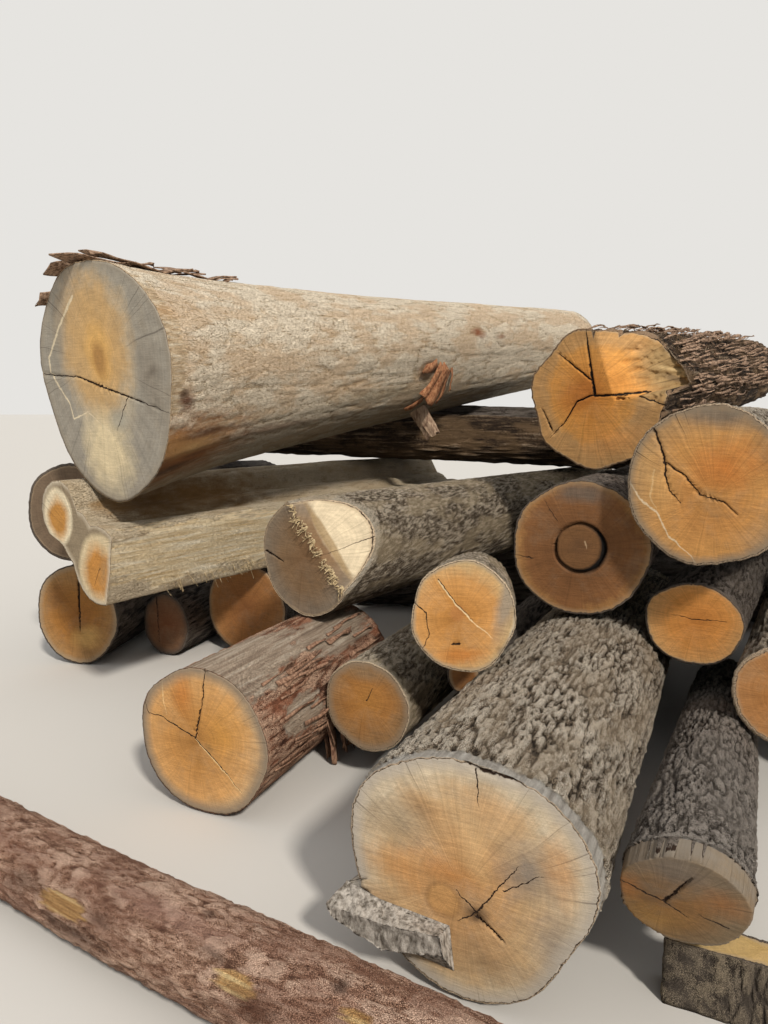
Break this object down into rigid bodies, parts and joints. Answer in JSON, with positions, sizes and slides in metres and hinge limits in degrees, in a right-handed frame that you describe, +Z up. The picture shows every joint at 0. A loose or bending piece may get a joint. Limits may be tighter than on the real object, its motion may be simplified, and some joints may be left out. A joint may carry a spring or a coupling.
{
  "type": "log heap",
  "caption": "Heap of felled tree trunks lying across each other with sawn ends to the front, bark furrowed, smooth or peeled, the thickest trunk on top.",
  "frame": {"origin": "centre of the heap's outline on the ground it lies on", "axes": "+Z up, +Y from the sawn ends in front to the far ends, +X to the viewer's right"},
  "size_m": [6.6402, 6.231, 2.3659],
  "materials": {
    "grey_bark": "rough",
    "furrowed_bark": "rough",
    "flaky_bark": "rough",
    "dark_bark": "rough",
    "peeled_wood": "rough",
    "sawn_wood": "rough"
  },
  "bodies": {
    "root": {"back_log": "dark_bark", "behind_twin_log": "dark_bark", "cross_log": "dark_bark", "crown_log": "grey_bark", "foreground_log": "flaky_bark", "front_log": "furrowed_bark", "furrowed_log": "furrowed_bark", "jammed_log": "dark_bark", "low_left_log": "dark_bark", "low_middle_log": "furrowed_bark", "middle_log": "peeled_wood", "notched_log": "grey_bark", "peeled_log": "peeled_wood", "prop_log": "dark_bark", "rear_log": "flaky_bark", "right_edge_log": "furrowed_bark", "right_ground_log": "dark_bark", "right_upper_log": "grey_bark", "ring_log": "furrowed_bark", "shaded_log": "dark_bark", "small_left_log": "dark_bark", "small_right_log": "furrowed_bark", "split_log": "grey_bark", "stamped_log": "grey_bark", "standing_billet": "sawn_wood", "twin_stem_log": "grey_bark"}
  },
  "joints": []
}
